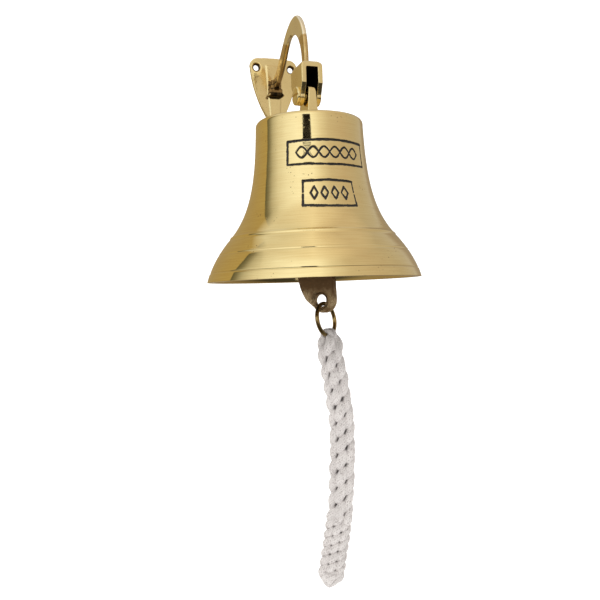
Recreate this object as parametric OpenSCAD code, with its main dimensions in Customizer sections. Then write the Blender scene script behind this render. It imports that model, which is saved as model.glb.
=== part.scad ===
// Wall-mounted ship bell: a cast bracket, a bell that swings on one screw, a clapper with a
// flat tail, and a rope lanyard on a ring.
// Units are millimetres. +Z is up, +X is to the right and -Y is away from the wall.
// The origin is on the bracket's back face, midway between its two upper screw holes.

/* [Bell] */
// Diameter across the rim
rim_d = 150; // [140:1:156]
// Height from the rim to the top of the crown
bell_h = 111; // [110:0.5:113]
// Radius that the waist narrows towards
waist_r = 36.8; // [34:0.2:38]
// Height of the turned band above the rim
band_h = 30; // [26:1:34]
// Radius of the bell at the band
band_r = 58; // [55:0.5:60]
// Height over which the flare above the band dies away
flare_len = 25; // [20:1:28]
// How far the lip bulges out of a straight cone
lip_bulge = 2.3; // [0:0.1:3]
// Radius of the crown's outer edge
shoulder_r = 3; // [2:0.5:5]
// Wall thickness at the crown and the shoulder
crown_t = 5.5; // [4.5:0.5:6]
// Sideways wall thickness of the lip
lip_t = 6; // [5:0.5:7]
// Sideways wall thickness at the top of the waist
waist_t = 4; // [3:0.5:4.5]

/* [Bracket] */
// Distance from the wall to the bell's axis
reach = 80; // [78:1:90]
// Half the distance between the upper screw holes
hole_x = 14.5; // [13:0.5:15]
// Drop from the upper screw holes to the lower one
lower_hole_drop = 41.5; // [36:0.5:42]
// Radius of the screw holes
hole_r = 2.25; // [1.5:0.25:2.5]
// Thickness of the wall plate
plate_t = 3; // [2.5:0.5:4]
// Sideways thickness of the arm
arm_t = 4; // [3:0.2:6]
// Width of the fork across its cheeks
fork_w = 15.7; // [15:0.1:18]
// Width of the fork's slot
slot_w = 8.5; // [8.4:0.1:9]
// Drop from the upper screw holes to the pivot
pivot_drop = 44.5; // [44:0.5:46]
// Radius of the cheeks' round ends
cheek_r = 6.5; // [6:0.25:7]

/* [Pivot and hanger] */
// Radius of the pivot screw's shank
pivot_r = 3; // [2.5:0.25:3.25]
// Radial clearance of a turning fit
running_gap = 0.05; // [0.02:0.01:0.1]
// Height of the pivot above the crown
pivot_above_crown = 18.5; // [17.5:0.5:19.5]
// Radius of the hanger's threaded stud
stud_r = 4; // [3:0.5:4.5]

/* [Clapper] */
// Diameter of the ball
ball_d = 30; // [24:1:32]
// Height of the ball's centre above the rim
ball_h = 16; // [16:1:20]
// Thickness of the flat tail
tail_t = 5.3; // [4:0.1:6]
// Radius of the hole in the tail
tail_hole_r = 4.2; // [4:0.1:5]
// Turn of the clapper about the bell's axis, in degrees
clapper_turn = -53; // [-90:1:90]

/* [Lanyard] */
// Mean radius of the ring in the tail
ring_r = 11.35; // [11:0.05:12]
// Radius of the ring's wire
ring_wire_r = 1.15; // [0.9:0.05:1.2]
// Lean of the hanging ring, in degrees
ring_lean = 8.6; // [0:0.2:10]
// Diameter of the braided rope
braid_d = 18.5; // [16:0.5:20]

/* [Hidden] */
$fn = 96;

brass = [0.80, 0.66, 0.36];
dull_brass = [0.45, 0.34, 0.20];
rope = [0.87, 0.85, 0.83];

pivot_z = -pivot_drop;
crown_z = pivot_z - pivot_above_crown;
rim_z = crown_z - bell_h;
rim_r = rim_d / 2;

// Arcs and curves: an arc about a centre, and a cubic curve through its four control points
function arc(centre, r, from, to, n) =
    [for (i = [0:n]) centre + r * [cos(from + (to - from) * i / n), sin(from + (to - from) * i / n)]];
function curve(a, b, c, d, n) =
    [for (i = [0:n]) let (t = i / n, s = 1 - t)
        s * s * s * a + 3 * s * s * t * b + 3 * s * t * t * c + t * t * t * d];
function reversed(list) = [for (i = [len(list) - 1:-1:0]) list[i]];

// ---- Bell: one turned profile, heights above the rim ----
waist_top = bell_h - shoulder_r;
inner_top = bell_h - crown_t;
inner_fillet = 6;
bead = 0.5;
function lip_r(h) = let (t = h / band_h) rim_r - (rim_r - band_r) * t + 4 * lip_bulge * t * (1 - t);
function waist_at(h) = waist_r + (band_r - waist_r) * exp(-(h - band_h) / flare_len);
function outer_r(h) = h < band_h ? lip_r(h) : waist_at(h);
function wall_t(h) = h < band_h ? lip_t - (1 - h / band_h) * 1
                                : waist_t + (lip_t - waist_t) * exp(-(h - band_h) / flare_len);
function inner_r(h) = outer_r(h) - wall_t(h);

module bell_shell() {
    lip = [for (i = [0:10]) let (h = band_h * i / 10) [lip_r(h), h]];
    band = [[band_r + bead, band_h + 0.3], [band_r + bead - 0.6, band_h + 1.3]];
    waist = [for (i = [0:18]) let (h = band_h + 2 + (waist_top - band_h - 2) * i / 18) [waist_at(h), h]];
    shoulder = arc([waist_at(waist_top) - shoulder_r, waist_top], shoulder_r, 10, 90, 6);
    bore = [[stud_r + running_gap, bell_h], [stud_r + running_gap, inner_top]];
    under_crown = arc([inner_r(inner_top - inner_fillet) - inner_fillet, inner_top - inner_fillet],
                      inner_fillet, 90, 0, 6);
    inside = [for (i = [1:24]) let (h = (inner_top - inner_fillet) * (1 - i / 24)) [inner_r(h), h]];
    color(brass) translate([0, -reach, rim_z])
        rotate_extrude($fn = 180)
            polygon(concat(lip, band, waist, shoulder, bore, under_crown, inside));
}

// ---- Bracket: one casting of wall plate, root, gooseneck arm and fork ----
plate_top = 8.4;
side_arc_r = 96;
plate_half_w = 20.1;
corner_r = 6.5;
tip_r = 4;
side_centre_x = plate_half_w - side_arc_r;
tip_z = plate_top - sqrt(pow(side_arc_r - tip_r, 2) - pow(side_centre_x, 2));
tip_angle = atan2(tip_z - plate_top, -side_centre_x);
corner_z = plate_top - corner_r - 0.8;
corner_angle = -asin((plate_top - corner_z) / side_arc_r);
corner_x = side_centre_x + side_arc_r * cos(corner_angle) - corner_r;

// Right half of the plate's outline, from the top centre round to the tip
plate_half = concat(
    [[0, plate_top], [corner_x * 0.55, plate_top - 0.25]],
    arc([corner_x, corner_z], corner_r, 86, 0, 9),
    arc([side_centre_x, plate_top], side_arc_r, corner_angle - 2, tip_angle, 14),
    arc([0, tip_z], tip_r, tip_angle + 8, -90, 4));
plate_outline = concat(plate_half,
    [for (i = [len(plate_half) - 2:-1:1]) [-plate_half[i].x, plate_half[i].y]]);

// Arm in the Y-Z plane, as [distance out from the wall, height above the upper holes]
arm_outer = concat(
    curve([2, -12], [26, -1.5], [37, 20.6], [58.5, 20.6], 14),
    curve([58.5, 20.6], [69, 20.6], [82, 7.5], [80, -24], 14));
arm_inner = concat(
    curve([2, -20.5], [33, -13.5], [36, 9], [49.5, 9], 12),
    curve([49.5, 9], [64.5, 9], [75.5, -5], [73.5, -26], 12));
arm_outline = concat(arm_outer, reversed(arm_inner));

slot_top_z = pivot_z + 18.3;
fork_back = 13.5;
web_front = 10.6;
fork_front = 10;
shoulder_w = 3.5;
fork_h = 22.9;

// Puts a Y-Z outline, given as [distance out from the wall, height], into a slab across X
module across(w) {
    rotate([90, 0, -90]) translate([0, 0, -w / 2]) linear_extrude(w) children();
}

module on_pivot(from_x, to_x, r) {
    translate([from_x, -reach, pivot_z]) rotate([0, 90, 0]) cylinder(r = r, h = to_x - from_x);
}

module fork() {
    half = fork_w / 2;
    difference() {
        union() {
            intersection() {
                across(fork_w) translate([reach, pivot_z]) polygon([
                    [-cheek_r, 0], [cheek_r, 0], [8.6, 4.5], [fork_front, 7.5], [fork_front, fork_h - 2],
                    [8, fork_h], [-9, fork_h], [-fork_back, fork_h - 4], [-fork_back, 9]]);
                translate([0, 0, pivot_z]) rotate([90, 0, 0]) linear_extrude(2 * reach) polygon([
                    [-half, -10], [half, -10], [half, fork_h - shoulder_w], [half - 0.8, fork_h - 1.4],
                    [half - 2.6, fork_h + 0.1], [2.6 - half, fork_h + 0.1], [0.8 - half, fork_h - 1.4],
                    [-half, fork_h - shoulder_w]]);
            }
            on_pivot(-half, half, cheek_r);
        }
        translate([-slot_w / 2, -reach - 30, pivot_z - 20])
            cube([slot_w, 30 + web_front, slot_top_z - pivot_z + 20]);
        on_pivot(-half - 1, 0, pivot_r + running_gap);
        on_pivot(0, half - 0.8, pivot_r);
    }
}

module screw_hole(x, z) {
    sink_r = 3.6;
    translate([x, 1, z]) rotate([90, 0, 0]) cylinder(r = hole_r, h = plate_t + 2);
    translate([x, -plate_t + sink_r - hole_r, z]) rotate([90, 0, 0])
        cylinder(r1 = hole_r, r2 = sink_r + 0.5, h = sink_r - hole_r + 0.5);
}

// One step of the arm's root: its width, its foot's height, how tall it is and how far it stands out
module root_step(w, foot_z, tall, out) {
    translate([-w / 2, -plate_t - out, foot_z]) cube([w, plate_t + out - 0.5, tall]);
}

module wall_bracket() {
    color(brass) difference() {
        union() {
            rotate([90, 0, 0]) linear_extrude(plate_t) polygon(plate_outline);
            // Stepped root where the arm grows out of the plate
            root_step(10.4, -21.5, 3.8, 5.2);
            root_step(8, -18, 3.8, 4.4);
            root_step(6.2, -14.5, 3.8, 3.4);
            across(arm_t) polygon(arm_outline);
            fork();
        }
        screw_hole(-hole_x, 0);
        screw_hole(hole_x, 0);
        screw_hole(0, -lower_hole_drop);
    }
}

module pivot_screw() {
    head_r = 6.5;
    head_t = 3;
    slot_depth = 1.3;
    slot_gap = 1.6;
    face_x = -fork_w / 2;
    color(brass) difference() {
        union() {
            on_pivot(face_x - head_t, face_x, head_r);
            on_pivot(face_x, fork_w / 2 - 0.8, pivot_r);
        }
        translate([face_x - head_t - 1, -reach - 10, pivot_z - slot_gap / 2])
            cube([slot_depth + 1, 20, slot_gap]);
    }
}

// ---- Hanger: tongue, foot and stud in one piece, with its washer and nut inside the crown ----
stud_end_h = 91;
washer_t = 1.5;
nut_t = 6.5;
eye_hub_top = inner_top - washer_t - nut_t - 0.4;

module hanger_lug() {
    tongue_r = 9;
    foot_t = 2.5;
    foot_w = 12;
    foot_l = 23;
    base_w = 8;
    top_w = 4.4;
    height = pivot_above_crown + tongue_r;
    color(brass) difference() {
        union() {
            intersection() {
                union() {
                    on_pivot(-base_w, base_w, tongue_r);
                    translate([-base_w, -reach - tongue_r, crown_z + foot_t])
                        cube([2 * base_w, 2 * tongue_r, pivot_above_crown - foot_t]);
                }
                translate([0, 0, crown_z]) rotate([90, 0, 0]) linear_extrude(2 * reach) polygon([
                    [-base_w / 2, foot_t], [base_w / 2, foot_t], [top_w / 2, height], [-top_w / 2, height]]);
            }
            translate([-foot_w / 2, -reach - foot_l / 2, crown_z]) cube([foot_w, foot_l, foot_t]);
            translate([0, -reach, rim_z + stud_end_h]) cylinder(r = stud_r, h = bell_h - stud_end_h + 0.5);
        }
        on_pivot(-base_w, base_w, pivot_r + running_gap);
    }
}

module crown_washer() {
    color(brass) translate([0, -reach, rim_z + inner_top - washer_t]) difference() {
        cylinder(r = 10, h = washer_t);
        translate([0, 0, -1]) cylinder(r = stud_r + 0.2, h = washer_t + 2);
    }
}

module crown_nut() {
    across_flats = 13;
    color(brass) translate([0, -reach, rim_z + inner_top - washer_t - nut_t]) difference() {
        cylinder(r = across_flats / 2 / cos(30), h = nut_t, $fn = 6);
        translate([0, 0, -1]) cylinder(r = stud_r + 0.02, h = nut_t + 2);
    }
}

// ---- Clapper: everything in its own plane, then turned about the bell's axis ----
eye_r = 6.5;
eye_wire_r = 2.25;
eye_h = 84;
link_r = 7;
link_wire_r = 1.5;
clapper_eye_r = 6;
// The link and the clapper hang with this gap between their wires
hang_gap = 0.1;
bar_step = eye_wire_r + link_wire_r + hang_gap;
link_h = eye_h - eye_r + bar_step - link_r;
clapper_eye_h = link_h - link_r + bar_step - clapper_eye_r;

// Local frame on the bell's axis at the rim: X lies in the tail's plane, Y runs through its hole
module in_clapper_frame() {
    translate([0, -reach, rim_z]) rotate([0, 0, clapper_turn]) children();
}

module torus(r, wire_r) {
    rotate_extrude($fn = 72) translate([r, 0]) circle(r = wire_r, $fn = 32);
}

module clapper_eye() {
    color(dull_brass) in_clapper_frame() difference() {
        union() {
            translate([0, 0, eye_h]) rotate([90, 0, 0]) torus(eye_r, eye_wire_r);
            translate([0, 0, eye_h + eye_r - 1]) cylinder(r = 6, h = eye_hub_top - eye_h - eye_r + 1);
        }
        translate([0, 0, stud_end_h - 0.5]) cylinder(r = stud_r, h = 12);
    }
}

module clapper_link() {
    color(dull_brass) in_clapper_frame() translate([0, 0, link_h]) rotate([0, 90, 0])
        torus(link_r, link_wire_r);
}

// Tail outline as [sideways, height above the rim]: a tongue that leans to one side
tail_end = [8, -14.4];
tail_end_r = 9;
tail_hole = [5.8, -14.7];
tail_outline = concat(
    [[-13, 6], [-12, 0], [-10, -7], [-6.2, -13.8]],
    arc(tail_end, tail_end_r, 215, 360, 10),
    [[16.5, 0], [15.2, 6], [11, 14], [-11, 14]]);

module clapper() {
    shank_r = 4.5;
    ball_r = ball_d / 2;
    color(dull_brass) in_clapper_frame() difference() {
        union() {
            translate([0, 0, clapper_eye_h]) rotate([90, 0, 0]) torus(clapper_eye_r, eye_wire_r);
            translate([0, 0, ball_h]) cylinder(r = shank_r, h = clapper_eye_h - clapper_eye_r - ball_h);
            translate([0, 0, ball_h]) sphere(r = ball_r);
            translate([0, tail_t / 2, 0]) rotate([90, 0, 0]) linear_extrude(tail_t) polygon(tail_outline);
        }
        translate([tail_hole.x, tail_t, tail_hole.y]) rotate([90, 0, 0])
            cylinder(r = tail_hole_r, h = 2 * tail_t);
    }
}

// ---- Lanyard: ring in the tail's hole, two cord loops round it, and the braided rope ----
ring_top = [7.1, -16.9];
ring_centre = ring_top + ring_r * [sin(ring_lean), -cos(ring_lean)];
ring_bottom = ring_top + 2 * ring_r * [sin(ring_lean), -cos(ring_lean)];

module tail_ring() {
    color(dull_brass) in_clapper_frame() translate([ring_centre.x, 0, ring_centre.y])
        rotate([0, 90 - ring_lean, 0]) torus(ring_r, ring_wire_r);
}

module lanyard_loops() {
    cord_r = 1.7;
    loop_r = 3.2;
    color(rope) in_clapper_frame() for (side = [-1, 1])
        translate([ring_bottom.x, side * 1.8, ring_bottom.y]) rotate([90, 0, 0]) torus(loop_r, cord_r);
}

// Centreline of the braided rope, from just under the ring to its lower end
braid_route = [[6.7, -88.2, -218.5], [7.5, -88.5, -227.5], [9.2, -89.3, -239.5], [10.9, -90.1, -251.5],
    [12.1, -90.7, -263.5], [12.8, -91, -275.5], [12.9, -91.1, -287.5], [12.6, -91.1, -299.5],
    [12, -90.9, -311.5], [11.1, -90.6, -323.5], [9.8, -90.1, -335.5], [8.2, -89.5, -347.5],
    [6.3, -88.7, -359.5], [4.2, -87.9, -371.5], [2.4, -87.2, -381.5]];

function unit(v) = v / norm(v);
function tangent(route, i) = unit(route[min(i + 1, len(route) - 1)] - route[max(i - 1, 0)]);
// One ring of points square to the route at point i
function ring_at(route, i, r, sides) =
    let (t = tangent(route, i), across_y = unit(cross(t, [1, 0, 0])), across_x = cross(across_y, t))
    [for (k = [0:sides - 1]) route[i] + r * (cos(360 * k / sides) * across_x + sin(360 * k / sides) * across_y)];

module tube(route, r, sides) {
    last = len(route) - 1;
    points = [for (i = [0:last]) each ring_at(route, i, r, sides)];
    walls = [for (i = [0:last - 1], k = [0:sides - 1]) let (n = (k + 1) % sides)
        [i * sides + k, (i + 1) * sides + k, (i + 1) * sides + n, i * sides + n]];
    caps = [[for (k = [0:sides - 1]) k], [for (k = [sides - 1:-1:0]) last * sides + k]];
    polyhedron(points, concat(walls, caps), convexity = 4);
}

module lanyard_braid() {
    color(rope) tube(braid_route, braid_d / 2, 12);
}

module lanyard_end() {
    last = len(braid_route) - 1;
    t = tangent(braid_route, last);
    color(rope) translate(braid_route[last])
        rotate([0, acos(t.z), atan2(t.y, t.x)])
            rotate_extrude($fn = 48) polygon([[0, 0], [8.8, 0], [8.6, 2.5], [7, 5.5], [3.5, 8.2], [0, 8.8]]);
}

wall_bracket();
pivot_screw();
bell_shell();
hanger_lug();
crown_washer();
crown_nut();
clapper_eye();
clapper_link();
clapper();
tail_ring();
lanyard_loops();
lanyard_braid();
lanyard_end();
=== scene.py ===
import math
import random

import bmesh
import bpy
from mathutils import Matrix, Vector, noise


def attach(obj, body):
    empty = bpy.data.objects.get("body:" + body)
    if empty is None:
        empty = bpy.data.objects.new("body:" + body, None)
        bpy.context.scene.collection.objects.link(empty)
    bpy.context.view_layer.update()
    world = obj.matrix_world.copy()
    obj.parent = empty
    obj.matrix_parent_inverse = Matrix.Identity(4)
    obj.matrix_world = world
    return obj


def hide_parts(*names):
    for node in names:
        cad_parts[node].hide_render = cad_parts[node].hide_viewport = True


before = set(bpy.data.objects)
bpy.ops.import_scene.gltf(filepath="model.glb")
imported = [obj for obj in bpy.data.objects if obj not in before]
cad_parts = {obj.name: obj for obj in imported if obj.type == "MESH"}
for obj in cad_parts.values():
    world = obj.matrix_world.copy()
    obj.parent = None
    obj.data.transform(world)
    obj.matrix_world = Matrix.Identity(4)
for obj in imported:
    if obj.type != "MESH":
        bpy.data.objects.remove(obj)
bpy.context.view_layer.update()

# Lengths are in millimetres unless a comment says metres; times MM they are in metres.
MM = 0.001
AXIS_Y = -80.0
RIM_Z = -174.0


# ---------------------------------------------------------------- camera
CAMERA_PLACE = Vector((-173.7, -543.5, -185.1)) * MM
CAMERA_TURN, CAMERA_LIFT, CAMERA_ROLL = 19.33, -0.32, 1.91
CAMERA_LENS, CAMERA_SENSOR = 41.91, 36


def add_camera():
    """Looks along +Y, then turned towards +X, lifted and rolled, in degrees."""
    turn, lift, roll = (math.radians(a) for a in (CAMERA_TURN, CAMERA_LIFT, CAMERA_ROLL))
    look = Vector((
        math.sin(turn) * math.cos(lift), math.cos(turn) * math.cos(lift), math.sin(lift)))
    right = Vector((math.cos(turn), -math.sin(turn), 0))
    up = right.cross(look)
    side = math.cos(roll) * right - math.sin(roll) * up
    top = math.sin(roll) * right + math.cos(roll) * up
    data = bpy.data.cameras.new("camera")
    data.lens = CAMERA_LENS
    data.sensor_width = CAMERA_SENSOR
    data.clip_start = 0.01
    data.clip_end = 50
    camera = bpy.data.objects.new("camera", data)
    camera.matrix_world = Matrix((
        (side.x, top.x, -look.x, CAMERA_PLACE.x),
        (side.y, top.y, -look.y, CAMERA_PLACE.y),
        (side.z, top.z, -look.z, CAMERA_PLACE.z),
        (0, 0, 0, 1),
    ))
    bpy.context.collection.objects.link(camera)
    bpy.context.scene.camera = camera


add_camera()


# ---------------------------------------------------------------- mesh helpers
def add_mesh(name, points, faces, smooth=True):
    """A mesh object from points in millimetres."""
    mesh = bpy.data.meshes.new(name)
    mesh.from_pydata([Vector(p) * MM for p in points], [], faces)
    mesh.validate()
    obj = bpy.data.objects.new(name, mesh)
    bpy.context.collection.objects.link(obj)
    if smooth:
        mesh.shade_smooth()
    return obj


def sweep(path, radii, sides):
    """Points, faces and UVs of a closed tube along a path, with round ends."""
    points, faces, uvs = [], [], []
    count = len(path)
    tangents = [
        (path[min(i + 1, count - 1)] - path[max(i - 1, 0)]).normalized()
        for i in range(count)
    ]
    normal = tangents[0].orthogonal().normalized()
    run = 0.0
    runs = []
    for i, p in enumerate(path):
        t = tangents[i]
        normal = (normal - t * normal.dot(t)).normalized()
        cross = t.cross(normal)
        run += (p - path[i - 1]).length if i else 0.0
        runs.append(run)
        for k in range(sides):
            a = 2 * math.pi * k / sides
            points.append(p + radii[i] * (math.cos(a) * normal + math.sin(a) * cross))
    around = 2 * math.pi * max(radii)
    for i in range(count - 1):
        for k in range(sides):
            n = (k + 1) % sides
            a, b = i * sides, (i + 1) * sides
            faces.append((a + k, a + n, b + n, b + k))
            v0, v1 = around * k / sides, around * (k + 1) / sides
            uvs.append(((runs[i], v0), (runs[i], v1), (runs[i + 1], v1), (runs[i + 1], v0)))
    first = len(points)
    points.append(path[0] - tangents[0] * radii[0] * 0.5)
    points.append(path[-1] + tangents[-1] * radii[-1] * 0.5)
    last = (count - 1) * sides
    for k in range(sides):
        n = (k + 1) % sides
        v0, v1 = around * k / sides, around * (k + 1) / sides
        faces.append((n, k, first))
        uvs.append(((0, v1), (0, v0), (-0.5, v0)))
        faces.append((last + k, last + n, first + 1))
        uvs.append(((run, v0), (run, v1), (run + 0.5, v1)))
    return points, faces, uvs


class Pile:
    """Collects several tubes into one mesh, each with a shade from 0 to 1."""

    def __init__(self):
        self.points, self.faces, self.uvs, self.shades = [], [], [], []

    def add(self, shape, shade=0.5):
        start = len(self.points)
        points, faces, uvs = shape
        self.points += points
        self.faces += [tuple(start + i for i in f) for f in faces]
        self.uvs += uvs
        self.shades += [shade] * len(points)

    def build(self, name):
        obj = add_mesh(name, self.points, self.faces)
        layer = obj.data.uv_layers.new(name="strand")
        flat = [c for corner in self.uvs for c in corner]
        for loop, uv in zip(layer.data, flat):
            loop.uv = uv
        tone = obj.data.attributes.new("tone", "FLOAT", "POINT")
        tone.data.foreach_set("value", self.shades)
        return obj


def catmull(points, per_span):
    """Points on a smooth curve through the given ones."""
    ends = [2 * points[0] - points[1]] + points + [2 * points[-1] - points[-2]]
    out = []
    for i in range(1, len(ends) - 2):
        a, b, c, d = ends[i - 1:i + 3]
        for k in range(per_span):
            t = k / per_span
            out.append(0.5 * (
                2 * b + (c - a) * t + (2 * a - 5 * b + 4 * c - d) * t * t
                + (3 * b - a - 3 * c + d) * t ** 3))
    out.append(points[-1])
    return out


def bake_modifiers(obj):
    """Gives the object the mesh that its modifiers make, and drops them."""
    graph = bpy.context.evaluated_depsgraph_get()
    made = bpy.data.meshes.new_from_object(obj.evaluated_get(graph), depsgraph=graph)
    obj.modifiers.clear()
    obj.data = made
    return made


def add_smoothing(obj, rounds):
    smooth = obj.modifiers.new("smooth", "SMOOTH")
    smooth.factor = 0.5
    smooth.iterations = rounds
    return smooth


def soften(cad, name, voxel, rounds):
    """A copy of a CAD node as one evenly meshed casting with softened edges."""
    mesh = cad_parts[cad].data.copy()
    mesh.materials.clear()
    obj = bpy.data.objects.new(name, mesh)
    bpy.context.collection.objects.link(obj)
    work = bmesh.new()
    work.from_mesh(mesh)
    bmesh.ops.remove_doubles(work, verts=work.verts, dist=1e-6)
    work.to_mesh(mesh)
    work.free()
    remesh = obj.modifiers.new("remesh", "REMESH")
    remesh.mode = "VOXEL"
    remesh.voxel_size = voxel * MM
    remesh.adaptivity = 0
    add_smoothing(obj, rounds)
    made = bake_modifiers(obj)
    made.name = name
    made.shade_smooth()
    return obj


def push(obj, amount):
    """Moves each vertex along its normal by amount(point, normal), in millimetres."""
    mesh = obj.data
    normals = [v.normal.copy() for v in mesh.vertices]
    for v, n in zip(mesh.vertices, normals):
        v.co += n * (amount(v.co / MM, n) * MM)
    mesh.update()


def step_between(value, low, high):
    """A smooth step from 0 at low to 1 at high."""
    t = max(0.0, min(1.0, (value - low) / (high - low)))
    return t * t * (3 - 2 * t)


def hum(p, size, seed=0.0):
    """Smooth noise from -1 to 1, with lumps of about the given size in millimetres."""
    return noise.noise(p / size + Vector((seed, seed * 1.7, -seed)))


# ---------------------------------------------------------------- materials
def new_material(name):
    material = bpy.data.materials.new(name)
    material.use_nodes = True
    tree = material.node_tree
    shader = next(n for n in tree.nodes if n.type == "BSDF_PRINCIPLED")
    return material, tree, shader


def node(tree, kind, inputs=None, **settings):
    """A shader node; inputs holds sockets to link or values to set, by name or number."""
    made = tree.nodes.new(kind)
    for key, value in settings.items():
        setattr(made, key, value)
    for key, value in (inputs or {}).items():
        socket = made.inputs[key]
        if isinstance(value, bpy.types.NodeSocket):
            tree.links.new(value, socket)
        else:
            socket.default_value = value
    return made


def math_node(tree, operation, a, b, clamp=False):
    made = node(tree, "ShaderNodeMath", {0: a, 1: b}, operation=operation, use_clamp=clamp)
    return made.outputs[0]


def read_attribute(tree, name):
    return node(tree, "ShaderNodeAttribute", attribute_name=name).outputs["Fac"]


def ramp(tree, factor, low, high, from_value=0.0, to_value=1.0):
    made = node(tree, "ShaderNodeMapRange", {
        "Value": factor, "From Min": low, "From Max": high,
        "To Min": from_value, "To Max": to_value})
    return made.outputs["Result"]


def mix_colour(tree, factor, a, b):
    made = node(tree, "ShaderNodeMix", data_type="RGBA")
    for socket, value in ((0, factor), (6, a), (7, b)):
        if isinstance(value, bpy.types.NodeSocket):
            tree.links.new(value, made.inputs[socket])
        elif socket == 0:
            made.inputs[socket].default_value = value
        else:
            made.inputs[socket].default_value = (*value, 1)
    return made.outputs[2]


def textured(tree, scale, detail=3.0, stretch=(1, 1, 1)):
    """Noise in object coordinates; scale is in lumps per metre."""
    coords = node(tree, "ShaderNodeTexCoord").outputs["Object"]
    mapped = node(tree, "ShaderNodeMapping", {"Vector": coords, "Scale": stretch})
    made = node(tree, "ShaderNodeTexNoise", {
        "Vector": mapped.outputs[0], "Scale": scale, "Detail": detail, "Roughness": 0.55})
    return made.outputs["Fac"]


def pits(tree, scale, size):
    """1 in scattered small pits, 0 elsewhere."""
    coords = node(tree, "ShaderNodeTexCoord").outputs["Object"]
    cells = node(tree, "ShaderNodeTexVoronoi", {"Vector": coords, "Scale": scale})
    spots = ramp(tree, cells.outputs["Distance"], size, size * 0.6)
    sparse = ramp(tree, textured(tree, scale * 0.12, 2.0), 0.56, 0.64)
    return math_node(tree, "MULTIPLY", spots, sparse, clamp=True)


def brass(name, colour, deep, rough, lines=(1, 1, 1), line_depth=0.25, tarnish=0.25,
          pit_size=0.12, engraved=False, waviness=0.3, painted_light=False, streaks=0.12):
    """Polished cast brass: colour in the clean metal, deep where it has tarnished.

    An engraved one has dark paint where the mesh's "engraved" attribute is high; one with painted
    light has painted shade from one attribute and a pale painted reflection from its "pale" one.
    """
    material, tree, shader = new_material(name)
    cloud = textured(tree, 38, 4.0)
    patch = ramp(tree, cloud, 0.42, 0.72, 0.0, tarnish)
    fine = textured(tree, 900, 2.0, lines)
    spots = pits(tree, 420, pit_size)
    base = mix_colour(tree, patch, colour, deep)
    base = mix_colour(tree, ramp(tree, fine, 0.3, 0.7, 0.0, streaks), base, deep)
    base = mix_colour(
        tree, math_node(tree, "MULTIPLY", spots, 0.75), base, [c * 0.25 for c in deep])
    roughness = math_node(tree, "ADD", ramp(tree, fine, 0.3, 0.7, rough * 0.85, rough * 1.2),
                          math_node(tree, "MULTIPLY", patch, 0.35))
    height = math_node(tree, "ADD", math_node(tree, "MULTIPLY", fine, line_depth),
                       math_node(tree, "MULTIPLY", spots, -1.2))
    waves = math_node(tree, "MULTIPLY", textured(tree, 160, 2.0), waviness)
    height = math_node(tree, "ADD", height, waves)
    if engraved:
        edge = ramp(tree, textured(tree, 1500, 2.0), 0.3, 0.7, -0.12, 0.12)
        ragged = math_node(tree, "ADD", read_attribute(tree, "engraved"), edge)
        paint = ramp(tree, ragged, 0.34, 0.44)
        base = mix_colour(tree, paint, base, (0.012, 0.010, 0.009))
        roughness = math_node(tree, "ADD", roughness, math_node(tree, "MULTIPLY", paint, 0.4))
        metal = math_node(tree, "SUBTRACT", 1.0, paint, clamp=True)
        tree.links.new(metal, shader.inputs["Metallic"])
    else:
        shader.inputs["Metallic"].default_value = 1
    if painted_light:
        # Painted light: a pale painted reflection, then painted shade and reflection in brown and
        # near black.
        painted_shade = read_attribute(tree, "painted_shade")
        base = mix_colour(tree, read_attribute(tree, "pale"), base, (0.98, 0.97, 0.93))
        base = mix_colour(tree, ramp(tree, painted_shade, 0.0, 0.45), base, (0.52, 0.33, 0.13))
        base = mix_colour(tree, ramp(tree, painted_shade, 0.4, 0.95), base, (0.02, 0.014, 0.008))
        roughness = math_node(tree, "ADD", roughness, math_node(tree, "MULTIPLY", painted_shade, 0.5))
    tree.links.new(base, shader.inputs["Base Color"])
    tree.links.new(roughness, shader.inputs["Roughness"])
    bump = node(tree, "ShaderNodeBump", {"Strength": 0.5, "Distance": 0.00004, "Height": height})
    tree.links.new(bump.outputs[0], shader.inputs["Normal"])
    return material


def cast_brass(name, colour, deep, rough, grain=1.0, fade=None, metal=1.0):
    """Aged, unpolished cast brass with a sandy skin.

    fade is (low, high, colour), a painted shade: it takes on that colour from height low to height
    high, in metres.
    """
    material, tree, shader = new_material(name)
    cloud = textured(tree, 75, 5.0)
    sand = textured(tree, 1300, 3.0)
    blotch = textured(tree, 260, 4.0)
    base = mix_colour(tree, ramp(tree, cloud, 0.38, 0.66), colour, deep)
    for factor, shade in (
            (ramp(tree, blotch, 0.55, 0.75, 0.0, 0.7), [c * 0.45 for c in deep]),
            (ramp(tree, sand, 0.45, 0.33, 0.0, 0.45 * grain), [c * 0.3 for c in deep]),
            (ramp(tree, sand, 0.56, 0.68, 0.0, 0.5 * grain), [min(1, c * 1.7) for c in colour])):
        base = mix_colour(tree, factor, base, shade)
    # Painted shade: darker from height low upwards.
    if fade:
        low, high, dark = fade
        coords = node(tree, "ShaderNodeTexCoord").outputs["Object"]
        height = node(tree, "ShaderNodeSeparateXYZ", {"Vector": coords}).outputs["Z"]
        height = math_node(tree, "ADD", height, ramp(tree, blotch, 0.3, 0.7, -0.004, 0.004))
        base = mix_colour(tree, ramp(tree, height, low, high), base, dark)
    tree.links.new(base, shader.inputs["Base Color"])
    tree.links.new(ramp(tree, sand, 0.3, 0.7, rough, rough + 0.2), shader.inputs["Roughness"])
    shader.inputs["Metallic"].default_value = metal
    height = math_node(tree, "ADD", math_node(tree, "MULTIPLY", sand, 0.8 * grain),
                       math_node(tree, "MULTIPLY", blotch, 1.6 * grain))
    bump = node(tree, "ShaderNodeBump", {"Strength": 0.7, "Distance": 0.00012, "Height": height})
    tree.links.new(bump.outputs[0], shader.inputs["Normal"])
    return material


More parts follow.
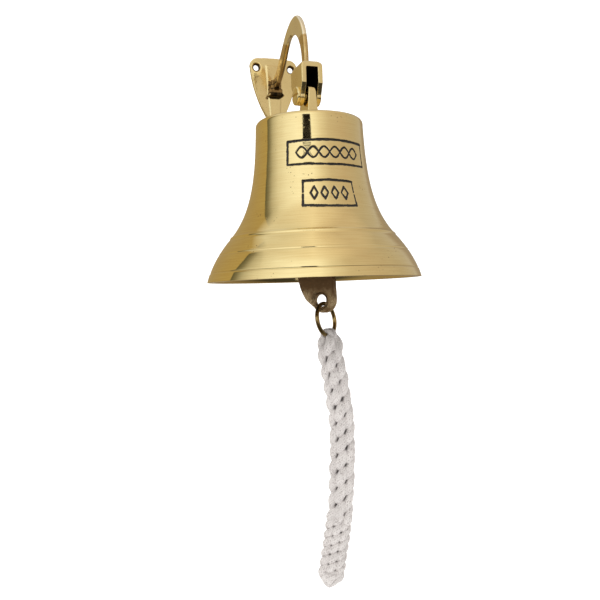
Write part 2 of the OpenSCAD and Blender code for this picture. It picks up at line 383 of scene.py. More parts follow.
def cotton(name):
    """Off-white braided cotton cord.

    The weave follows the strands' own UVs, in millimetres, and it is paler where "tone" is high
    and darker where "depth" is, a painted shade where the cords dive into the rope.
    """
    material, tree, shader = new_material(name)
    uv = node(tree, "ShaderNodeUVMap", uv_map="strand").outputs[0]
    weaves = []
    for turn in (0.9, -0.9):
        turned = node(tree, "ShaderNodeMapping", {"Vector": uv, "Rotation": (0, 0, turn)})
        wave = node(tree, "ShaderNodeTexWave", {
            "Vector": turned.outputs[0], "Scale": 0.24, "Distortion": 4.0, "Detail": 1.0,
            "Detail Scale": 1.5})
        weaves.append(wave.outputs["Fac"])
    weave = math_node(tree, "MAXIMUM", *weaves)
    fuzz = textured(tree, 1500, 3.0)
    cloud = textured(tree, 95, 4.0)
    worn = textured(tree, 520, 3.0)
    tone, depth = read_attribute(tree, "tone"), read_attribute(tree, "depth")
    base = mix_colour(
        tree, ramp(tree, cloud, 0.35, 0.7), (0.70, 0.665, 0.645), (0.59, 0.555, 0.54))
    base = mix_colour(tree, ramp(tree, tone, 0.0, 1.0, 0.0, 0.35), base, (0.78, 0.745, 0.725))
    dots = math_node(tree, "MULTIPLY", ramp(tree, weave, 0.65, 0.25),
                     ramp(tree, worn, 0.4, 0.62, 0.1, 0.7), clamp=True)
    base = mix_colour(tree, dots, base, (0.30, 0.26, 0.245))
    base = mix_colour(tree, ramp(tree, fuzz, 0.58, 0.7, 0.0, 0.6), base, (0.36, 0.31, 0.295))
    coords = node(tree, "ShaderNodeTexCoord").outputs["Object"]
    cells = node(tree, "ShaderNodeTexVoronoi", {"Vector": coords, "Scale": 780})
    specks = math_node(tree, "MULTIPLY", ramp(tree, cells.outputs["Distance"], 0.42, 0.22),
                       ramp(tree, worn, 0.4, 0.6, 0.15, 0.8), clamp=True)
    base = mix_colour(tree, specks, base, (0.30, 0.26, 0.25))
    # Painted shade: darker deep in the rope, between the stitches.
    base = mix_colour(tree, ramp(tree, depth, 0.36, 0.75, 0.0, 0.9), base, (0.09, 0.075, 0.07))
    tree.links.new(base, shader.inputs["Base Color"])
    tree.links.new(ramp(tree, fuzz, 0.3, 0.7, 0.85, 1.0), shader.inputs["Roughness"])
    shader.inputs["Specular IOR Level"].default_value = 0.2
    shader.inputs["Sheen Weight"].default_value = 0.25
    shader.inputs["Sheen Roughness"].default_value = 0.6
    height = math_node(tree, "ADD", math_node(tree, "MULTIPLY", weave, 1.0),
                       math_node(tree, "MULTIPLY", fuzz, 0.7))
    bump = node(tree, "ShaderNodeBump", {"Strength": 0.8, "Distance": 0.00025, "Height": height})
    tree.links.new(bump.outputs[0], shader.inputs["Normal"])
    return material


POLISHED = brass("brass_polished", (0.91, 0.77, 0.41), (0.70, 0.49, 0.20), 0.06)
BELL_OUT = brass("brass_bell", (0.92, 0.78, 0.41), (0.76, 0.56, 0.25), 0.045,
                 lines=(0.05, 0.05, 1.6), line_depth=0.35, tarnish=0.22, pit_size=0.2,
                 engraved=True, waviness=0.15, streaks=0.4)
BELL_IN = cast_brass("brass_bell_inside", (0.42, 0.30, 0.13), (0.24, 0.155, 0.06), 0.42, grain=0.5)
AGED = cast_brass("brass_aged", (0.36, 0.26, 0.14), (0.15, 0.095, 0.045), 0.38)
# The bracket takes painted shade and a pale painted reflection from its mesh's attributes.
BRACKET = brass("brass_bracket", (0.91, 0.77, 0.41), (0.62, 0.42, 0.17), 0.07,
                tarnish=0.35, painted_light=True)
# The clapper darkens from just under the rim upwards into the bell: painted shade.
CLAPPER = cast_brass("brass_clapper", (0.74, 0.55, 0.33), (0.30, 0.18, 0.08), 0.30, grain=1.6,
                     fade=(-0.190, -0.179, (0.17, 0.10, 0.045)), metal=0.7)
RING = brass("brass_ring", (0.52, 0.38, 0.16), (0.10, 0.07, 0.035), 0.2, tarnish=0.95)
COTTON = cotton("cotton_cord")


def finish_piece(obj, material, body, slot, *nodes):
    """Names the body and CAD nodes of a piece; with no material it keeps those it has. slot is not
    used.
    """
    if material is not None:
        obj.data.materials.clear()
        obj.data.materials.append(material)
    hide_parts(*nodes)
    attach(obj, body)


# ---------------------------------------------------------------- lanyard
BRAID_D = 18.5
ROUTE = [Vector(p) for p in (
    (6.7, -88.2, -218.5), (7.5, -88.5, -227.5), (9.2, -89.3, -239.5), (10.9, -90.1, -251.5),
    (12.1, -90.7, -263.5), (12.8, -91, -275.5), (12.9, -91.1, -287.5), (12.6, -91.1, -299.5),
    (12, -90.9, -311.5), (11.1, -90.6, -323.5), (9.8, -90.1, -335.5), (8.2, -89.5, -347.5),
    (6.3, -88.7, -359.5), (4.2, -87.9, -371.5), (2.4, -87.2, -381.5))]
LANYARD_FACE = math.radians(118)  # the first column of stitches, round the rope
STITCH_LEAN = 0.3
STITCH_OVERLAP = 1.12
FINE_LENGTH = 46  # the lower stretch, worked in finer stitches
CLAPPER_TURN = math.radians(-53)
RING_R, RING_LEAN = 11.35, math.radians(8.6)


def clapper_frame(p):
    """A point of the clapper's own frame, in the object's frame, in millimetres."""
    x, y, z = p
    c, s = math.cos(CLAPPER_TURN), math.sin(CLAPPER_TURN)
    return Vector((c * x - s * y, AXIS_Y + s * x + c * y, RIM_Z + z))


RING_TOP = Vector((7.1, 0, -16.9))
RING_DOWN = Vector((math.sin(RING_LEAN), 0, -math.cos(RING_LEAN)))
RING_BOTTOM = RING_TOP + 2 * RING_R * RING_DOWN


class Rope:
    """The lanyard's centreline, as a smooth curve through its route."""

    def __init__(self, route):
        self.line = catmull(route, 12)
        self.runs = [0.0]
        for a, b in zip(self.line, self.line[1:]):
            self.runs.append(self.runs[-1] + (b - a).length)
        self.length = self.runs[-1]

    def at(self, run, angle, radius):
        """The point at a distance along the rope, an angle round it and a radius out."""
        run_in = min(max(run, 0.0), self.length - 1e-6)
        i = max(k for k, r in enumerate(self.runs) if r <= run_in)
        a, b = self.line[i], self.line[i + 1]
        t = (b - a).normalized()
        p = a + (b - a) * ((run_in - self.runs[i]) / (self.runs[i + 1] - self.runs[i]))
        p += t * (run - run_in)
        side = t.cross(Vector((1, 0, 0))).normalized()
        front = side.cross(t)
        return p + radius * (math.cos(angle) * front + math.sin(angle) * side)


rope = Rope(ROUTE)


def lump(run, angle, length, r_out, r_in, cord_r, lean):
    """One stitch: a cord that rises from the middle, runs over the outside and dives back."""
    path, radii = [], []
    steps = 18
    for i in range(steps + 1):
        t = i / steps
        arch = math.sin(math.pi * t) ** 0.42
        sway = lean * math.sin(math.pi * (t - 0.5))
        path.append(rope.at(
            run + (t - 0.5) * length, angle + sway, r_in + (r_out - r_in) * arch))
        radii.append(cord_r * (0.74 + 0.26 * math.sin(math.pi * t) ** 0.6))
    return sweep(path, radii, 18)


def add_stitches(pile, chance, columns, pitch, runs, radii, lean, spread, darkest):
    """Columns of stitches round the rope, in turn half a pitch apart.

    runs are where they start and stop, radii their outer, inner and cord radius, and spread is
    how far their run, angle and outer radius wander and how thin their cord gets. Their shades
    go from darkest to 1.
    """
    first, last = runs
    r_out, r_in, cord_r = radii
    slip, twist, swell, thin = spread
    for column in range(columns):
        run = first + (pitch / 2 if column % 2 else 0)
        angle = LANYARD_FACE + column * 2 * math.pi / columns
        while run < last:
            stitch = lump(
                run + chance.uniform(-slip, slip), angle + chance.uniform(-twist, twist),
                pitch * STITCH_OVERLAP, r_out + chance.uniform(-swell, swell), r_in,
                cord_r * chance.uniform(thin, 1.05), lean)
            pile.add(stitch, darkest + (1 - darkest) * chance.random())
            run += pitch


def mark_depth(obj, outer, reach=3.6):
    """Stores, for painted shade, how deep in the rope each vertex lies, from 0 outside to 1 at
    reach inside it.

    It fades out past the rope's two ends.
    """
    depths = []
    line = rope.line
    for v in obj.data.vertices:
        p = v.co / MM
        low, high = 0, len(line) - 1
        while high - low > 1:
            i = (low + high) // 2
            if line[i].z > p.z:
                low = i
            else:
                high = i
        t = max(0.0, min(1.0, (line[low].z - p.z) / (line[low].z - line[high].z)))
        centre = line[low].lerp(line[high], t)
        away = math.hypot(p.x - centre.x, p.y - centre.y)
        inside = step_between(p.z - line[-1].z, -1, 3) * step_between(line[0].z - p.z, -1, 3)
        depths.append(inside * max(0.0, min(1.0, (outer - away) / reach)))
    layer = obj.data.attributes.new("depth", "FLOAT", "POINT")
    layer.data.foreach_set("value", depths)


def make_braid():
    """A core under bold stitches, with finer ones below."""
    chance = random.Random(7)
    pile = Pile()
    fine = rope.length - FINE_LENGTH
    core = [rope.at(1.0 + (rope.length - 1.0) * i / 40, 0, 0) for i in range(41)]
    pile.add(sweep(core, [4.6] * len(core), 16), 0.0)
    add_stitches(pile, chance, 6, 11.4, (2.0, fine + 4), (BRAID_D / 2 - 3.25, 1.2, 3.55),
                 STITCH_LEAN, (0.6, 0.06, 0.3, 0.94), 0.0)
    add_stitches(pile, chance, 8, 6.6, (fine + 5, rope.length + 1), (BRAID_D / 2 - 2.5, 2.6, 2.6),
                 0.8 * STITCH_LEAN, (0.25, 0.03, 0.15, 0.95), 0.5)
    return pile.build("lanyard_braid_rope")


def make_end():
    """The worked end: strands that close in to a blunt point."""
    chance = random.Random(11)
    pile = Pile()
    steps = 16
    for k in range(8):
        angle = LANYARD_FACE + math.pi / 8 + k * math.pi / 4
        path, radii = [], []
        for i in range(steps + 1):
            t = i / steps
            path.append(rope.at(rope.length - 3.5 + 11.0 * t ** 0.9, angle + 0.7 * t,
                                6.5 * (1 - t ** 1.9) + 0.4))
            radii.append(2.5 * (1 - 0.5 * t))
        pile.add(sweep(path, radii, 12), 0.5 + 0.5 * chance.random())
    core = [rope.at(rope.length - 3 + 10.5 * i / 6, 0, 0) for i in range(7)]
    pile.add(sweep(core, [6.0, 5.7, 5.1, 4.3, 3.3, 2.3, 1.3], 16), 0.5)
    return pile.build("lanyard_end_whipping")


def make_loops():
    """Two turns of cord through the ring, which thicken as they run down into the braid."""
    pile = Pile()
    apart, turn_r, cord_r = 2.1, 3.35, 1.85
    across = clapper_frame((0, 1, 0)) - clapper_frame((0, 0, 0))
    along = clapper_frame((1, 0, 0)) - clapper_frame((0, 0, 0))
    down = Vector((0, 0, -1))
    middle = clapper_frame(RING_BOTTOM)
    for side, shade in ((-1, 0.3), (1, 0.7)):
        path = []
        for i in range(41):
            a = math.radians(-128 + 256 * i / 40)
            round_ring = math.sin(a) * along - math.cos(a) * down
            path.append(middle + across * side * apart + turn_r * round_ring)
        tail_a = [path[0] + down * 2.6 * k - along * 0.5 * k for k in (3, 2, 1)]
        tail_b = [path[-1] + down * 2.6 * k + along * 0.5 * k for k in (1, 2, 3)]
        full = catmull(tail_a + path + tail_b, 2)
        radii = [cord_r + 1.1 * step_between(middle.z - p.z, -0.5, 5.5) for p in full]
        pile.add(sweep(full, radii, 16), shade)
    return pile.build("lanyard_loops_cord")


def make_lanyard():
    braid, end, loops = make_braid(), make_end(), make_loops()
    # Painted shade deep in the rope.
    for obj in (braid, end):
        mark_depth(obj, BRAID_D / 2 - 0.9)
    for obj, cad in ((braid, "lanyard_braid"), (end, "lanyard_end"), (loops, "lanyard_loops")):
        finish_piece(obj, COTTON, "lanyard", "cotton_cord", cad)


make_lanyard()


# ---------------------------------------------------------------- bell
RIM_R, BELL_H, WAIST_R, BAND_H, BAND_R = 75.0, 111.0, 36.8, 30.0, 58.0
SHOULDER_R, CROWN_T, INNER_FILLET = 3.0, 5.5, 6.0
STUD_HOLE_R = 4.05
WINDOW = 46.0  # degrees to each side of the engraving's middle that are meshed finely
WINDOW_TURN = math.radians(-1.5)
ENGRAVED_DEPTH = 0.5


class Engraving:
    """A region that holds an engraved frame: its turn, the bell's radius there and its box."""

    def __init__(self, turn, radius, half_arc, low, high):
        self.turn, self.radius = math.radians(turn), radius
        self.half_arc, self.low, self.high = half_arc, low, high

    def arc(self, turn):
        return (turn - self.turn) * self.radius

    def holds(self, arc, h):
        return -self.half_arc < arc < self.half_arc and self.low < h < self.high


UPPER_FRAME = Engraving(-1.2, 39.5, 30.5, 73, 92.6)
LOWER_FRAME = Engraving(-4.6, 44.6, 19.7, 45, 65.6)


def outer_r(h):
    """The bell's outer radius at a height above the rim: a flared skirt under a waisted body."""
    if h < BAND_H:
        t = h / BAND_H
        return RIM_R - (RIM_R - BAND_R) * t + 4 * 2.3 * t * (1 - t)
    return WAIST_R + (BAND_R - WAIST_R) * math.exp(-(h - BAND_H) / 25)


def inner_r(h):
    wall = 6 - (1 - h / BAND_H) if h < BAND_H else 4 + 2 * math.exp(-(h - BAND_H) / 25)
    return outer_r(h) - wall


def turned_detail(h):
    """Beads and cut lines of the turned bands, in millimetres of radius."""
    def band(rise, height, width):
        return rise * math.exp(-((h - height) / width) ** 2)

    bead = band(0.55, 30.6, 0.75) - band(0.35, 29.0, 0.45)
    line = band(-0.28, 18.6, 0.35) + band(0.12, 19.3, 0.5)
    lip = band(-0.35, 6.2, 0.32) + (0.18 if h < 5.9 else 0.0)
    return bead + line + lip


def stroke_distance(p, a, b):
    """How far a point lies from the line piece from a to b."""
    ab, ap = (b[0] - a[0], b[1] - a[1]), (p[0] - a[0], p[1] - a[1])
    t = max(0.0, min(1.0, (ap[0] * ab[0] + ap[1] * ab[1]) / (ab[0] ** 2 + ab[1] ** 2)))
    return math.hypot(ap[0] - t * ab[0], ap[1] - t * ab[1])


def engraved_strokes():
    """Hand-cut frames with a plain ornament in each, as line pieces of (arc, height, width)."""
    strokes = []

    def line(points, width):
        strokes.extend((a, b, width) for a, b in zip(points, points[1:]))

    def frame_lines(left, right, low, high, width):
        centre = (left + right) / 2
        line([(left, high - 0.3), (centre, high + 0.35), (right + 0.4, high - 0.5)], width * 1.15)
        line([(left, low + 0.2), (centre, low - 0.25), (right, low + 0.1)], width)
        line([(left, low + 0.1), (left - 0.2, high - 0.2)], width)
        line([(right, low), (right + 0.3, high - 0.4)], width * 0.8)

    frame_lines(-28.4, 28.4, 74.7, 90.6, 1.3)
    for shift in (0.0, math.pi):
        wave = []
        for i in range(97):
            x = -22.5 + 45 * i / 96
            wave.append((x, 82.6 + 3.6 * math.sin(2 * math.pi * x / 15 + shift)))
        line(wave, 1.15)
    frame_lines(-17.7, 17.7, 46.7, 63.6, 1.3)
    for x in (-10.5, -3.5, 3.5, 10.5):
        line([(x, 59.4), (x + 2.4, 55.2), (x, 51), (x - 2.4, 55.2), (x, 59.4)], 1.15)
    return strokes


def engraved_cut(strokes, arc, h):
    """How deep the graver went at a point, from 0 outside a stroke to 1 on its middle line."""
    waver = 0.16 * noise.noise(Vector((arc * 0.45, h * 0.45, 1.3)))
    best = 0.0
    for p, q, width in strokes:
        if abs(p[1] - h) > 8 and abs(q[1] - h) > 8 or abs(p[0] - arc) > 30:
            continue
        d = stroke_distance((arc, h), p, q)
        uneven = 1 + 0.35 * noise.noise(Vector((arc * 0.3, h * 0.3, 7.7)))
        half = width / 2 * uneven + waver * 0.5
        best = max(best, 1 - d / (2 * max(half, 0.2)))
    return max(0.0, best)


def bell_angles():
    """Degrees round the bell, close together where it is engraved."""
    angles = []
    a = -WINDOW
    while a < WINDOW:
        angles.append(a)
        a += 0.5
    while a < 360 - WINDOW - 0.1:
        angles.append(a)
        a += 2.5
    return angles


def bell_profile():
    """The bell's closed outline as (radius, height, outside), with None for the turned radius."""
    heights = [0.0, 0.12, 0.25, 0.4, 0.6, 1.0]
    waist_top = BELL_H - SHOULDER_R
    while heights[-1] < waist_top - 0.01:
        h = heights[-1]
        if 45 < h < 93:
            step = 0.36
        elif min(abs(h - 6), abs(h - 18.8), abs(h - 30)) < 2:
            step = 0.25
        else:
            step = 1.4
        heights.append(min(h + step, waist_top))
    profile = [(inner_r(0) + 0.8, 0.0, 0), (RIM_R - 0.5, 0.0, 0), (RIM_R - 0.12, 0.0, 0)]
    profile += [(None, h, 1) for h in heights[1:]]
    top_r = outer_r(waist_top)
    for i in range(1, 9):
        t = math.radians(90 * i / 8)
        profile.append((
            top_r - SHOULDER_R + SHOULDER_R * math.cos(t), waist_top + SHOULDER_R * math.sin(t), 1))
    profile += [(r, BELL_H, 1) for r in (28, 22, 16, 10, 7, STUD_HOLE_R + 0.55)]
    ceiling = BELL_H - CROWN_T
    profile += [(STUD_HOLE_R, BELL_H - 0.5, 1), (STUD_HOLE_R, ceiling + 0.3, 0)]
    profile += [(r, ceiling, 0) for r in (STUD_HOLE_R + 0.55, 8, 12, 16, 20, 24)]
    wall_top = ceiling - INNER_FILLET
    corner = inner_r(wall_top) - INNER_FILLET
    for i in range(0, 7):
        t = math.radians(90 - 90 * i / 6)
        profile.append((
            corner + INNER_FILLET * math.cos(t), wall_top + INNER_FILLET * math.sin(t), 0))
    for i in range(1, 34):
        h = wall_top * (1 - i / 34)
        profile.append((inner_r(h), h, 0))
    profile.append((inner_r(0.6) + 0.1, 0.6, 0))
    return profile


def make_bell():
    """The turned shell, with the engraving cut into its mesh and polished only outside."""
    strokes = engraved_strokes()
    angles, profile = bell_angles(), bell_profile()
    columns, rows = len(angles), len(profile)
    points, engraved = [], []
    for r, h, _ in profile:
        base = outer_r(h) + turned_detail(h) if r is None else r
        detailed = r is None and 44.5 < h < 93
        engraving = UPPER_FRAME if h > 70 else LOWER_FRAME
        for a in angles:
            t = WINDOW_TURN + math.radians(a)
            radius, cut = base, 0.0
            if r is None:
                spot = Vector((math.sin(t) * base, -math.cos(t) * base, h))
                radius += 0.07 * hum(spot, 24, 3.1) + 0.03 * hum(spot, 7, 9.4)
            arc = engraving.arc(t)
            if detailed and abs(a) < WINDOW and engraving.holds(arc, h):
                cut = engraved_cut(strokes, arc, h)
                radius -= ENGRAVED_DEPTH * min(1.0, max(0.0, (cut - 0.38) / 0.45))
            points.append((radius * math.sin(t), AXIS_Y - radius * math.cos(t), RIM_Z + h))
            engraved.append(cut)
    faces, kinds = [], []
    for i in range(rows):
        j = (i + 1) % rows
        for k in range(columns):
            n = (k + 1) % columns
            faces.append((i * columns + k, i * columns + n, j * columns + n, j * columns + k))
            lip = max(profile[i][1], profile[j][1]) < 8
            outside = profile[i][2] and profile[j][2]
            kinds.append(0 if lip or outside else 1)
    obj = add_mesh("bell_casting", points, faces)
    obj.data.materials.append(BELL_OUT)
    obj.data.materials.append(BELL_IN)
    obj.data.polygons.foreach_set("material_index", kinds)
    depth = obj.data.attributes.new("engraved", "FLOAT", "POINT")
    depth.data.foreach_set("value", engraved)
    finish_piece(obj, None, "bell", "polished_brass", "bell_shell")


make_bell()


# ---------------------------------------------------------------- bracket, screw and hanger
PIVOT_Z = -44.5
PLATE_T = 4.2
SCREW_HOLES = ((-14.5, 0), (14.5, 0), (0, -41.5))
ROOT_STEPS = (-21.5, -18, -14.5)  # the lower faces of the arm's stepped root
ROOT_HALF_W = 5.6


def smooth_more(obj, weight, rounds):
    """Smooths the vertices for which weight(point in millimetres) is above 0."""
    group = obj.vertex_groups.new(name="smoothed")
    for v in obj.data.vertices:
        w = weight(v.co / MM)
        if w > 0:
            group.add([v.index], w, "REPLACE")
    add_smoothing(obj, rounds).vertex_group = "smoothed"
    bake_modifiers(obj).shade_smooth()
    obj.vertex_groups.clear()


def paint(obj, name, amount):
    """Stores amount(point in millimetres), from 0 to 1, on each vertex."""
    layer = obj.data.attributes.new(name, "FLOAT", "POINT")
    layer.data.foreach_set("value", [amount(v.co / MM) for v in obj.data.vertices])


def bracket_arm(p):
    """1 on the gooseneck's upper side and 0 near the plate and in the fork."""
    out = -p.y
    if out < 9 or out > 84 or p.z < -20:
        return 0.0
    low = PIVOT_Z + 22 if out > 64 else -18
    return step_between(out, 9, 13) * step_between(p.z, low, PIVOT_Z + 27)


def bracket_relief(p, n):
    """Hammered skin, the plate's raised middle panel, a longer lowest root step, round holes."""
    panel_rise, root_drop, hole_r = 0.9, 2.4, 2.28
    out = -p.y
    amount = 0.05 * hum(p, 9, 2.2) + 0.025 * hum(p, 3, 5.1)
    if out < PLATE_T and n.y < -0.5:
        across = step_between(6.9 + p.z * 0.06 - abs(p.x), 0, 0.9)
        amount += panel_rise * (across * step_between(2.4 - p.z, 0, 0.9))
    on_lowest_step = -22.2 < p.z < -21 and 3.3 < out < 9
    if n.z < -0.6 and abs(p.x) < ROOT_HALF_W and on_lowest_step:
        amount += root_drop
    for x, z in SCREW_HOLES:
        away = math.hypot(p.x - x, p.z - z)
        if out < 1.8 and away < 3.2 and abs(n.y) < 0.8:
            amount += max(0.0, away - hole_r)
    return amount


def reflection_edge(p):
    """The height above which the arm's crest takes the pale painted reflection."""
    return 0.5 + 0.4 * max(0.0, 55 + p.y) + 1.2 * hum(p, 6, 4.4)


def bracket_painted_reflection(p):
    """How much pale painted reflection the arm takes, from 0 to 1: its crest only."""
    if p.y > -12 or p.z < -3:
        return 0.0
    return 0.5 * step_between(p.z - reflection_edge(p), -0.6, 0.6)


def bracket_painted_shade(p):
    """Painted shade in the fork, round the screw holes and on the root's steps; legs browner by
    painted reflection.
    """
    dark = 0.0
    out = -p.y
    # Painted shade: the inside of the fork is near black.
    in_fork = abs(p.x) < 4.32 and 66 < out < 92.5 and p.z < PIVOT_Z + 18.6
    if in_fork:
        dark = 1.0
    # Painted reflection: the legs under the pale crest are browner.
    if out > 9 and p.z > PIVOT_Z + 24 and p.z < 21:
        dark = 0.3 * step_between(reflection_edge(p) - p.z, -0.6, 0.6)
    # Painted shade round the screw holes.
    for x, z in SCREW_HOLES:
        away = math.hypot(p.x - x, p.z - z)
        if out < 5 and away < 4.6:
            dark = max(dark, 0.85 * (1 - step_between(away, 2.7, 3.9)))
    # Painted shade on the root's steps, darkest at the foot of each.
    if abs(p.x) < ROOT_HALF_W and -24.5 < p.z < -10.4 and 3.3 < out < 16:
        lowest, middle, top = ROOT_STEPS
        foot = lowest if p.z < middle else middle if p.z < top else top
        dark = max(dark, 0.62 + 0.3 * (1 - step_between(p.z - foot, 0.2, 1.6)))
    return max(0.0, min(1.0, dark + 0.12 * hum(p, 2.0, 6.6) * (dark > 0)))


def make_bracket():
    obj = soften("wall_bracket", "bracket_casting", 0.42, 4)
    smooth_more(obj, bracket_arm, 60)
    push(obj, bracket_relief)
    # Painted shade and a pale painted reflection, stored on the mesh for its material.
    paint(obj, "painted_shade", bracket_painted_shade)
    paint(obj, "pale", bracket_painted_reflection)
    finish_piece(obj, BRACKET, "bracket", "polished_brass", "wall_bracket")


def make_screw():
    """The pivot screw: a turned shank and a low domed head with a cut slot."""
    tip, face, dome = 7.0, -7.85, 1.65
    shank_r, head_r = 2.97, 6.45
    rim = face - 1.3
    profile = [(tip, 0), (tip, 2.6), (tip - 0.4, shank_r), (face, shank_r),
               (face, head_r - 0.35), (face - 0.3, head_r), (rim, head_r)]
    for i in range(1, 9):
        a = math.radians(90 * i / 8)
        profile.append((rim - dome * math.sin(a), head_r * math.cos(a) ** 0.8 if i < 8 else 0))
    sides = 72
    points, faces = [(profile[0][0], AXIS_Y, PIVOT_Z)], []
    rows = profile[1:-1]
    for x, r in rows:
        for k in range(sides):
            a = 2 * math.pi * k / sides
            points.append((x, AXIS_Y + r * math.cos(a), PIVOT_Z + r * math.sin(a)))
    points.append((profile[-1][0], AXIS_Y, PIVOT_Z))
    last = len(points) - 1
    for k in range(sides):
        n = (k + 1) % sides
        faces.append((0, 1 + n, 1 + k))
        for i in range(len(rows) - 1):
            a = 1 + i * sides
            faces.append((a + k, a + n, a + sides + n, a + sides + k))
        a = 1 + (len(rows) - 1) * sides
        faces.append((a + k, a + n, last))
    obj = add_mesh("pivot_screw_turned", points, faces)
    slot_floor, slot_half = -9.6, 0.8
    corners = [(x, AXIS_Y + y, PIVOT_Z + z)
               for x in (-13, slot_floor) for y in (-9, 9) for z in (-slot_half, slot_half)]
    sides_of_box = [
        (0, 1, 3, 2), (4, 6, 7, 5), (0, 4, 5, 1), (2, 3, 7, 6), (0, 2, 6, 4), (1, 5, 7, 3)]
    tool = add_mesh("slot_tool", corners, sides_of_box, smooth=False)
    cut = obj.modifiers.new("slot", "BOOLEAN")
    cut.operation = "DIFFERENCE"
    cut.solver = "EXACT"
    cut.object = tool
    made = bake_modifiers(obj)
    bpy.data.objects.remove(tool)
    made.shade_smooth()
    made.set_sharp_from_angle(angle=math.radians(35))
    finish_piece(obj, POLISHED, "bracket", "polished_brass", "pivot_screw")


TAIL_HOLE_X, TAIL_HOLE_Z = 5.8, -14.7  # in the clapper's own frame


def worn_clapper(p, n):
    """Rough skin, with both faces of the tail dished round its hole."""
    dish = 1.9
    c, s = math.cos(CLAPPER_TURN), math.sin(CLAPPER_TURN)
    x = c * p.x + s * (p.y - AXIS_Y)
    y = -s * p.x + c * (p.y - AXIS_Y)
    away = math.hypot(x - TAIL_HOLE_X, p.z - RIM_Z - TAIL_HOLE_Z)
    amount = 0.12 * hum(p, 4, 1.9) + 0.07 * hum(p, 1.7, 8.3)
    if abs(y) < 3.2 and away < 8.5 and p.z < RIM_Z:
        face = abs(c * n.y - s * n.x)
        amount -= dish * (1 - step_between(away, 4.3, 7.4)) * face
        if away < 5 and face < 0.5:
            amount -= 0.6 * abs(x - TAIL_HOLE_X) / max(away, 0.1)
    return amount if p.z < RIM_Z + 34 else 0.3 * amount


def thicker_ring(p, n):
    """A wire that looks thicker than the CAD's, with a worn skin."""
    return 0.28 + 0.04 * hum(p, 2.5, 3.7)


def make_small_parts():
    """Each row: CAD node, piece, voxel size, rounds of smoothing, material, body and slot."""
    relief = {"clapper": worn_clapper, "tail_ring": thicker_ring}
    jobs = (
        ("hanger_lug", "hanger_casting", 0.3, 4, POLISHED, "bell", "polished_brass"),
        ("crown_washer", "crown_washer_pressed", 0.22, 3, AGED, "bell", "aged_brass"),
        ("crown_nut", "crown_nut_chamfered", 0.22, 4, AGED, "bell", "aged_brass"),
        ("clapper_eye", "clapper_eye_nut", 0.26, 5, AGED, "bell", "aged_brass"),
        ("clapper_link", "clapper_link_wire", 0.22, 3, AGED, "link", "aged_brass"),
        ("clapper", "clapper_casting", 0.4, 6, CLAPPER, "clapper", "aged_brass"),
        ("tail_ring", "tail_ring_wire", 0.2, 3, RING, "ring", "aged_brass"),
    )
    for cad, name, voxel, rounds, material, body, slot in jobs:
        obj = soften(cad, name, voxel, rounds)
        if cad in relief:
            push(obj, relief[cad])
        finish_piece(obj, material, body, slot, cad)


make_bracket()
make_screw()
make_small_parts()


# ---------------------------------------------------------------- studio
DOME_R, DOME_Z = 750, -100
ABOVE_FROM, BELOW_FROM = 42, -4  # degrees of rise where the upper and lower levels take over
DARK_BAR, DARK_BAR_TOP = (-33, -17), 22.35  # degrees: a dark flag, from the camera to its left


def emitter(name, attribute):
    """A material that glows in the colour of a mesh attribute."""
    material = bpy.data.materials.new(name)
    material.use_nodes = True
    tree = material.node_tree
    tree.nodes.clear()
    picked = node(tree, "ShaderNodeAttribute", attribute_name=attribute)
    glow = node(tree, "ShaderNodeEmission", {"Color": picked.outputs["Color"], "Strength": 1.0})
    node(tree, "ShaderNodeOutputMaterial", {0: glow.outputs[0]})
    return material


def blend_stops(value, stops):
    """A colour between given stops of (position, colour)."""
    for (v0, c0), (v1, c1) in zip(stops, stops[1:]):
        if value <= v1:
            t = max(0.0, (value - v0) / (v1 - v0))
            return Vector(c0).lerp(Vector(c1), t)
    return Vector(stops[-1][1])


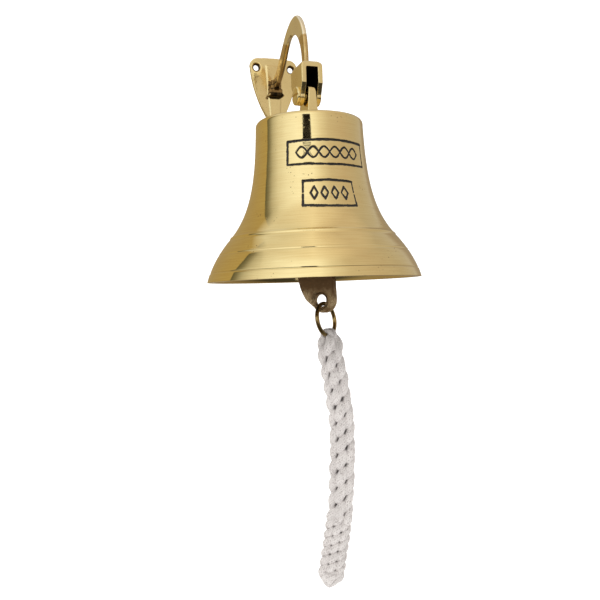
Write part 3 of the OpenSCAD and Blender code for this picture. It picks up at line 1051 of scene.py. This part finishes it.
def make_surround():
    """A dome of painted light levels round the object, which only glossy rays see.

    Each list holds colours by azimuth, in degrees from -Y towards +X: at the height of the object,
    above it and below it.
    """
    level = (
        (-180, (0.42, 0.32, 0.17)), (-150, (0.44, 0.34, 0.17)), (-118, (0.48, 0.365, 0.16)),
        (-117, (0.12, 0.115, 0.07)),
        (-110, (0.26, 0.24, 0.17)), (-101, (0.55, 0.52, 0.44)), (-87, (0.82, 0.79, 0.72)),
        (-68, (1.0, 0.99, 0.95)), (-45, (1.12, 1.12, 1.10)), (-15, (1.10, 1.08, 1.02)),
        (2, (0.86, 0.80, 0.70)), (20, (0.68, 0.60, 0.50)), (50, (0.60, 0.51, 0.42)),
        (85, (0.54, 0.48, 0.41)), (112, (0.54, 0.50, 0.47)), (122, (0.40, 0.33, 0.26)),
        (140, (0.34, 0.28, 0.20)), (180, (0.44, 0.34, 0.18)))
    above = (
        (-180, (0.72, 0.70, 0.66)), (-90, (0.80, 0.75, 0.66)), (-20, (0.98, 0.90, 0.78)),
        (20, (0.80, 0.70, 0.58)), (50, (0.66, 0.56, 0.46)), (180, (0.64, 0.60, 0.55)))
    below = (
        (-180, (0.34, 0.26, 0.15)), (-110, (0.30, 0.24, 0.15)), (-60, (0.06, 0.055, 0.045)),
        (60, (0.05, 0.045, 0.035)), (120, (0.26, 0.2, 0.13)), (180, (0.34, 0.26, 0.15)))
    points, faces, colours = [], [], []
    turns, rises = 720, 180
    for j in range(rises + 1):
        rise = -90 + 180 * j / rises
        for i in range(turns):
            azimuth = -180 + 360 * i / turns
            a, e = math.radians(azimuth), math.radians(rise)
            points.append((
                DOME_R * math.cos(e) * math.sin(a), AXIS_Y - DOME_R * math.cos(e) * math.cos(a),
                DOME_Z + DOME_R * math.sin(e)))
            wander = 2.2 * noise.noise(Vector((rise * 0.09, 2.5, 0.5)))
            colour = blend_stops(azimuth + wander, level)
            high = max(0.0, min(1.0, (rise - (ABOVE_FROM + wander * 2)) / 10))
            colour = colour.lerp(blend_stops(azimuth, above), high)
            low = max(0.0, min(1.0, (BELOW_FROM - rise) / 10))
            colour = colour.lerp(blend_stops(azimuth, below), low)
            ragged = 3.0 * noise.noise(Vector((rise * 0.55, 4.2, 0.0)))
            left, right = (side + ragged for side in DARK_BAR)
            if left < azimuth < right and rise < DARK_BAR_TOP + ragged * 0.25:
                colour = Vector((0.012, 0.01, 0.008))
            colours.append((*colour, 1))
    for j in range(rises):
        for i in range(turns):
            n = (i + 1) % turns
            a, b = j * turns, (j + 1) * turns
            faces.append((a + i, b + i, b + n, a + n))
    dome = add_mesh("studio_surround", points, faces)
    tint = dome.data.color_attributes.new("tint", "FLOAT_COLOR", "POINT")
    tint.data.foreach_set("color", [c for colour in colours for c in colour])
    dome.data.materials.append(emitter("surround", "tint"))
    for kind in ("camera", "diffuse", "transmission", "volume_scatter", "shadow"):
        setattr(dome, "visible_" + kind, False)


def make_paper():
    """A pale floor that curves up into a back wall."""
    floor_z, back_y, radius, reach, height = -850, 1800, 500, 3500, 2600
    points, faces = [], []
    curve_y = back_y - radius
    rows = [(-reach, floor_z), (-1500, floor_z), (curve_y, floor_z)]
    for i in range(1, 13):
        a = math.radians(90 * i / 12)
        rows.append((curve_y + radius * math.sin(a), floor_z + radius - radius * math.cos(a)))
    rows.append((back_y, height))
    for y, z in rows:
        points += [(-reach, y, z), (reach, y, z)]
    for i in range(len(rows) - 1):
        faces.append((2 * i, 2 * i + 1, 2 * i + 3, 2 * i + 2))
    floor = add_mesh("studio_floor", points, faces)
    material, tree, shader = new_material("studio_paper")
    shader.inputs["Base Color"].default_value = (0.86, 0.86, 0.86, 1)
    shader.inputs["Roughness"].default_value = 0.9
    shader.inputs["Emission Color"].default_value = (1, 1, 1, 1)
    shader.inputs["Emission Strength"].default_value = 0.45
    floor.data.materials.append(material)


def add_light():
    """A pale sky and one large soft key from the upper left."""
    world = bpy.data.worlds.new("studio")
    bpy.context.scene.world = world
    world.use_nodes = True
    back = world.node_tree.nodes["Background"]
    back.inputs["Color"].default_value = (1.0, 0.985, 0.96, 1)
    back.inputs["Strength"].default_value = 0.85

    data = bpy.data.lights.new("key", "AREA")
    data.shape = "RECTANGLE"
    data.size, data.size_y = 1.2, 1.2
    data.energy = 14
    key = bpy.data.objects.new("key", data)
    key.visible_glossy = False
    key.location = (-0.9, -1.6, 1.2)
    aim = Vector((0, -0.08, -0.2)) - key.location
    key.rotation_euler = aim.to_track_quat("-Z", "Y").to_euler()
    bpy.context.collection.objects.link(key)


make_paper()
make_surround()
add_light()
bpy.context.scene.view_settings.view_transform = "Standard"
